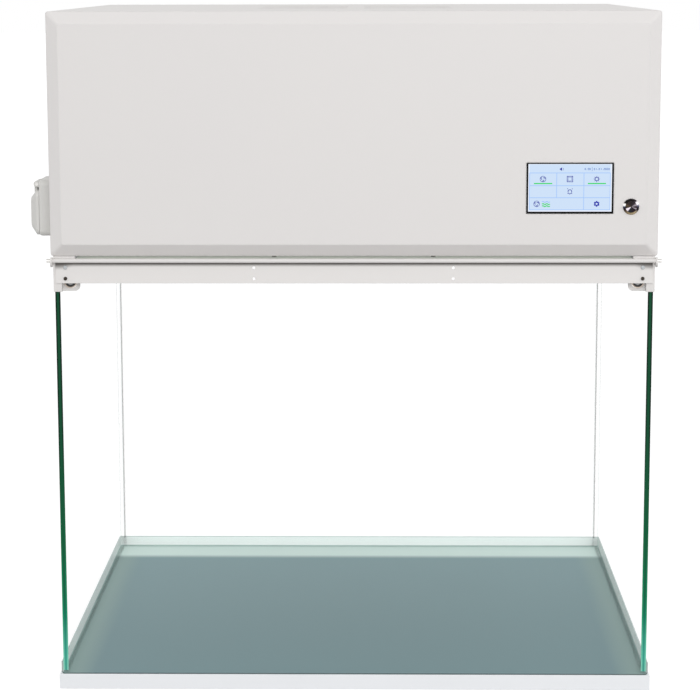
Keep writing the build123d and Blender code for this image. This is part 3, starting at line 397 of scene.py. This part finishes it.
# Inside the head. Zinc-plated deck, ring, bracket and clamps, pleated filter paper, gasket foam and motor.
# Zinc has a cool mottled lustre, the paper is off-white and fibrous.
zinc, shade, shader = finish("zinc_plate", seen(172, 178, 184), 0.36, 0.75)
feed(shade, shader, Base_Color=tint(shade, noise(shade, 40.0), seen(158, 165, 172), seen(190, 195, 200)),
     Roughness=0.3 + 0.2 * noise(shade, 120.0))
dress(zinc, "inner_front_panel", "fan_deck", "inlet_ring", "motor_bracket", "motor_pillars", "filter_clamps",
      "prefilter_tray")
paper, shade, shader = finish("filter_paper", seen(236, 235, 230), 0.9)
fibre = noise(shade, 1500.0, 6.0)
feed(shade, shader, Base_Color=tint(shade, fibre, seen(226, 225, 219), seen(243, 242, 238)),
     Normal=grain(shade, fibre, 0.4, 0.0004))
dress(paper, "filter_pleats", "prefilter_pad")
foam, shade, shader = finish("gasket_foam", seen(40, 40, 42), 0.85)
feed(shade, shader, Normal=grain(shade, noise(shade, 2500.0), 0.5, 0.0005))
dress(foam, "filter_gasket")
motor, shade, shader = finish("motor_enamel", seen(52, 55, 60), 0.45, 0.3)
feed(shade, shader, Roughness=0.38 + 0.18 * noise(shade, 700.0))
dress(motor, "motor_stator")
plated, shade, shader = finish("plated_contacts", seen(205, 190, 150), 0.3, 0.9)
feed(shade, shader, Roughness=0.25 + 0.15 * noise(shade, 1500.0))
dress(plated, "inlet_pins")


# Front cover. One folded pan with a bevelled border, in the same white, held by two screws at its lower edge.
# Its face is the largest surface of the hood, and its folds catch a thin bright line.
cover_white = powder_coat("cover_powder_coat", seen(228, 225, 224), seen(230, 227, 225), 0.0022)
dress(cover_white, "front_cover")


# Touch screen. A 4.3 inch display behind a black-edged glass, lit, with a plain menu of icons on pale blue.
# Icons and rules are flat shapes that lie a hair in front of the glass, so that they stay crisp.
screen_low, screen_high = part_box("touch_screen")
screen_middle = (screen_low + screen_high) / 2


def show(name, shapes, layer, material, body="cabinet"):
    """Flat shapes on the screen as one mesh: each is an array of quads, (u, v) in mm from the centre."""
    points = np.concatenate([shape.reshape(-1, 2) for shape in shapes]) * 0.001
    lift = screen_low.y - layer
    spots = np.column_stack([screen_middle.x + points[:, 0], np.full(len(points), lift),
                             screen_middle.z + points[:, 1]])
    quads = np.arange(len(spots)).reshape(-1, 4)
    mesh = bpy.data.meshes.new(name)
    mesh.from_pydata(spots.tolist(), [], quads.tolist())
    mesh.materials.append(material)
    piece = bpy.data.objects.new(name, mesh)
    bpy.context.collection.objects.link(piece)
    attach(piece, body)
    return piece


def bar(u0, u1, v0, v1):
    """One upright rectangle."""
    return np.array([[(u0, v0), (u1, v0), (u1, v1), (u0, v1)]], float)


def stroke(points, width):
    """A line of that width through the points: each span is a quad, square to the line."""
    path = np.array(points, float)
    step = np.diff(path, axis=0)
    side = np.stack([-step[:, 1], step[:, 0]], 1)
    side = side / np.linalg.norm(side, axis=1, keepdims=True) * width / 2
    return np.stack([path[:-1] - side, path[1:] - side, path[1:] + side, path[:-1] + side], 1)


def ring(u, v, radius, width, start=0.0, end=360.0, steps=40):
    """An arc of a circle about (u, v) as a stroke."""
    turn = np.radians(np.linspace(start, end, steps))
    return stroke(np.column_stack([u + radius * np.cos(turn), v + radius * np.sin(turn)]), width)


def glow(name, colour, strength=1.0):
    """A lit patch of the display: it emits its colour and reflects almost nothing."""
    lit, shade, shader = finish(name, (0.0, 0.0, 0.0, 1.0), 0.6, Emission_Strength=strength)
    shader.inputs["Emission Color"].default_value = colour
    shader.inputs["Specular IOR Level"].default_value = 0.1
    return lit


def fan_icon(u, v, radius):
    """A circle with three bent blades."""
    shapes = [ring(u, v, radius, 0.55)]
    for turn in (30, 150, 270):
        angle = math.radians(turn)
        hub_u = u + radius * 0.42 * math.cos(angle)
        hub_v = v + radius * 0.42 * math.sin(angle)
        shapes.append(ring(hub_u, hub_v, radius * 0.32, 0.85, turn - 60, turn + 130, 12))
    return shapes


def gear_icon(u, v, radius, teeth, width, tooth):
    """A ring with short teeth round it."""
    shapes = [ring(u, v, radius, width)]
    for turn in np.radians(np.arange(teeth) * 360 / teeth + 90):
        out = np.array([math.cos(turn), math.sin(turn)])
        start = np.array([u, v]) + out * (radius + width * 0.3)
        shapes.append(stroke([start, start + out * tooth], width))
    return shapes


digit_bars = {"0": "abcdef", "1": "bc", "2": "abged"}


def digits(text, u, v, size, pitch):
    """Plain numbers drawn with seven bars a figure; other marks are one dot."""
    shapes = []
    bars = {"a": ((0, 2), (1, 2)), "b": ((1, 2), (1, 1)), "c": ((1, 1), (1, 0)), "d": ((0, 0), (1, 0)),
            "e": ((0, 1), (0, 0)), "f": ((0, 2), (0, 1)), "g": ((0, 1), (1, 1))}
    for count, mark in enumerate(text):
        left = u + count * pitch
        for name in digit_bars.get(mark, ""):
            ends = np.array(bars[name], float) * (size * 0.5, size * 0.5) + (left, v - size / 2)
            shapes.append(stroke(ends, 0.42))
        if mark in ".:":
            shapes.append(bar(left + 0.2, left + 0.6, v - size / 2, v - size / 2 + 0.4))
    return shapes


black_edge, shade, shader = finish("black_screen_edge", seen(8, 9, 11), 0.12, Specular_IOR_Level=0.12)
feed(shade, shader, Roughness=0.1 + 0.06 * noise(shade, 300.0))
dress(black_edge, "touch_screen")
margin = [bar(-47.7, 47.6, -26.6, 27.9)]
show("display_margin", margin, 0.00004, glow("display_margin_light", seen(236, 243, 254)))
ground_area = [bar(-46.4, 45.9, -24.9, 27.4)]
show("display_ground", ground_area, 0.00007, glow("display_ground_light", seen(206, 225, 248)))
rules = [bar(-46.4, 45.9, v - 0.4, v + 0.4) for v in (17.7, 3.1, -10.7, -24.6)]
columns = ((-15.3, -10.7), (15.7, -24.6), (-46.2, -24.6), (45.7, -24.6))
rules += [bar(u - 0.4, u + 0.4, low, 17.7) for u, low in columns]
show("display_rules", rules, 0.0001, glow("display_rule_light", seen(164, 199, 250)))
icons = fan_icon(-31.0, 10.7, 3.3) + fan_icon(-38.0, -17.7, 3.3) + gear_icon(30.3, 10.7, 1.9, 8, 0.75, 1.35)
for side in range(4):
    turn = np.array([[math.cos(side * math.pi / 2), -math.sin(side * math.pi / 2)],
                     [math.sin(side * math.pi / 2), math.cos(side * math.pi / 2)]])
    for spot in np.linspace(-2.8, 2.8, 5):
        icons.append(bar(spot - 0.5, spot + 0.5, 2.6, 3.6) @ turn.T + (-0.3, 10.7))
    icons.append(bar(-2.1, 2.1, 1.9, 2.25) @ turn.T + (-0.3, 10.7))
icons += [ring(-0.2, -3.6, 2.1, 0.85, -20, 200, 16), bar(-2.4, -1.9, -5.6, -4.2), bar(1.5, 2.0, -5.6, -4.2),
          bar(-2.9, 2.5, -6.1, -5.5), bar(-0.8, 0.4, -7.0, -6.5), stroke([(-2.5, -0.9), (-3.3, 0.0)], 0.6),
          stroke([(2.1, -0.9), (2.9, 0.0)], 0.6)]
speaker_cone = np.array([[(-11.0, 21.2), (-9.4, 19.9), (-9.4, 24.2), (-11.0, 22.9)]])
icons += [bar(-11.9, -11.0, 21.2, 22.9), speaker_cone, ring(-9.6, 22.05, 1.9, 0.35, -50, 50, 8)]
show("display_icons", icons, 0.00013, glow("display_icon_light", seen(44, 48, 160)))
settings = gear_icon(30.5, -17.7, 2.0, 6, 1.6, 0.9)
show("display_gear", settings, 0.00013, glow("display_gear_light", seen(22, 26, 170)))
numbers = digits("0:00", 16.6, 22.1, 1.9, 1.75) + digits("01.01.2000", 27.0, 22.1, 1.9, 1.85)
numbers.append(bar(24.7, 25.1, 19.7, 24.5))
show("display_numbers", numbers, 0.00013, glow("display_number_light", seen(66, 108, 190)))
going = [bar(-41.3, -20.4, 4.9, 6.2), bar(20.2, 40.9, 4.9, 6.2)]
wave_u = np.linspace(-31.8, -22.9, 30)
waves = [stroke(np.column_stack([wave_u, v + 0.6 * np.sin((wave_u + 31.8) * 1.45)]), width)
         for v, width in ((-15.5, 0.6), (-18.0, 1.2), (-20.4, 1.2))]
show("display_green", going + waves[1:], 0.00013, glow("display_green_light", seen(44, 214, 96)))
show("display_wave", waves[:1], 0.00013, glow("display_wave_light", seen(110, 168, 246)))


# Power pushbutton. Turned stainless: a bezel with a rounded shoulder, and a dished cap that travels inwards.
# The wedges that turning marks spread the light into are painted reflections: dark above and below, bright
# ones between, and a warm lower rim.
head_low, head_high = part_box("button_body")
button_x = (head_low.x + head_high.x) / 2
button_z = (head_low.z + head_high.z) / 2


def turned_steel(name, wedges):
    """Polished steel with painted reflections by the angle round the button: wedges pairs degrees with a
    colour.
    """
    polished, shade, shader = finish(name, seen(205, 203, 202), 0.16, 0.85)
    off_x = split(shade, place(shade), 0) - button_x
    off_z = split(shade, place(shade), 2) - button_z
    turn = shade.maths("ARCTAN2", off_z, off_x) / (2 * math.pi) + 0.5
    stops = [((degrees + 180) / 360, seen(*colour)) for degrees, colour in wedges]
    feed(shade, shader, Base_Color=shade.make("ShaderNodeValToRGB", {"stops": stops}, {0: turn}),
         Roughness=0.14 + 0.08 * noise(shade, 800.0))
    return polished


# Both lists are painted reflections, one colour for each angle.
dress(turned_steel("turned_bezel", [
    (-180, (54, 56, 78)), (-165, (22, 18, 24)), (-150, (52, 40, 32)), (-120, (128, 112, 86)),
    (-90, (140, 126, 98)), (-60, (152, 136, 108)), (-42, (140, 128, 112)), (-30, (40, 26, 36)),
    (-8, (14, 12, 14)), (4, (72, 72, 92)), (14, (150, 146, 162)), (24, (255, 252, 255)),
    (40, (246, 240, 246)), (50, (70, 60, 68)), (60, (18, 10, 15)), (120, (8, 6, 6)), (148, (20, 16, 14)),
    (157, (240, 236, 232)), (168, (250, 250, 250)), (180, (54, 56, 78))]), "button_body")
dress(turned_steel("turned_cap", [
    (-180, (50, 40, 32)), (-166, (54, 44, 38)), (-155, (242, 232, 240)), (-136, (226, 214, 226)),
    (-122, (32, 42, 44)), (-60, (38, 26, 34)), (-35, (20, 16, 24)), (-22, (168, 160, 170)),
    (-12, (60, 42, 52)), (5, (48, 38, 44)), (18, (156, 148, 158)), (32, (112, 102, 110)),
    (48, (44, 36, 42)), (90, (36, 30, 32)), (145, (52, 42, 38)), (165, (84, 70, 52)),
    (180, (50, 40, 32))]), "button_cap")


# Panel socket. Light grey moulded plastic on the left wall: collar, contact insert and a sprung lid.
# The mouldings have a fine spark texture and softly rounded edges.
grey, shade, shader = finish("light_grey_moulding", seen(214, 213, 210), 0.4)
spark = noise(shade, 2400.0)
feed(shade, shader, Base_Color=tint(shade, noise(shade, 25.0), seen(211, 210, 206), seen(219, 218, 215)),
     Roughness=0.36 + 0.12 * spark, Normal=grain(shade, spark, 0.12, 0.0002, 0.0008))
dress(grey, "socket_body", "socket_insert", "socket_lid")


# Studio. A white floor and surround, a broad soft light above and in front, and a weaker one from each side.
# The camera stands where the photograph was taken from: level with the head's top, a little to the right.
camera_place = (0.0315, -2.785, 0.8374)
camera_turn = 0.0140
camera_dip = 0.1512
camera_roll = 0.0019
focal_pixels = 2180.4
image_pixels = 700
sensor = 36.0
camera = bpy.data.objects.new("camera", bpy.data.cameras.new("camera"))
camera.data.sensor_width = sensor
camera.data.lens = focal_pixels / image_pixels * sensor
camera.data.shift_y = -0.06
camera.location = camera_place
camera.rotation_euler = (math.pi / 2 - camera_dip, camera_roll, camera_turn)
bpy.context.collection.objects.link(camera)
bpy.context.scene.camera = camera


def soft_light(name, size, power, spot, aim):
    """A square area light at spot that faces aim."""
    lamp = bpy.data.lights.new(name, "AREA")
    lamp.size = size
    lamp.energy = power
    holder = bpy.data.objects.new(name, lamp)
    holder.location = spot
    direction = np.array(aim) - np.array(spot)
    level = math.hypot(direction[0], direction[1])
    holder.rotation_euler = (math.pi / 2 + math.atan2(direction[2], level), 0,
                             math.atan2(direction[1], direction[0]) - math.pi / 2)
    bpy.context.collection.objects.link(holder)


soft_light("light_front", 2.4, 69.5, (0.5, -4.2, 1.9), (0.0, 0.0, 0.5))
soft_light("light_right", 1.6, 9.0, (2.6, -0.9, 0.9), (0.0, 0.0, 0.5))
soft_light("light_left", 1.6, 6.5, (-2.6, -0.9, 0.9), (0.0, 0.0, 0.5))

surround = bpy.data.worlds.new("surround")
surround.use_nodes = True
bpy.context.scene.world = surround
shade = Shade(surround.node_tree)
ground = surround.node_tree.nodes["Background"]
world_white = 0.66


def seen_straight(shade):
    """One for camera, mirror and transmission rays, nought for soft light."""
    rays = [shade.make("ShaderNodeLightPath", {}, {}, output=name) for name in
            ("Is Camera Ray", "Is Glossy Ray", "Is Transmission Ray")]
    return shade.maths("MAXIMUM", shade.maths("MAXIMUM", rays[0], rays[1]), rays[2])


ground.inputs["Color"].default_value = (1.0, 1.0, 1.0, 1.0)
strength = world_white + (1 - world_white) * seen_straight(shade)
surround.node_tree.links.new(strength.socket, ground.inputs["Strength"])

floor_mesh = bpy.data.meshes.new("studio_floor")
reach = 30.0
corners = [(-reach, -reach, 0), (reach, -reach, 0), (reach, reach, 0), (-reach, reach, 0)]
floor_mesh.from_pydata(corners, [], [(0, 1, 2, 3)])
studio_floor = bpy.data.objects.new("studio_floor", floor_mesh)
bpy.context.collection.objects.link(studio_floor)
floor_white, shade, shader = finish("floor_white", (0.38, 0.38, 0.38, 1.0), 0.9)
floor_mesh.materials.append(floor_white)
shader.inputs["Emission Color"].default_value = (1.0, 1.0, 1.0, 1.0)
feed(shade, shader, Emission_Strength=0.78 * seen_straight(shade))

scene = bpy.context.scene
scene.view_settings.view_transform = "Standard"
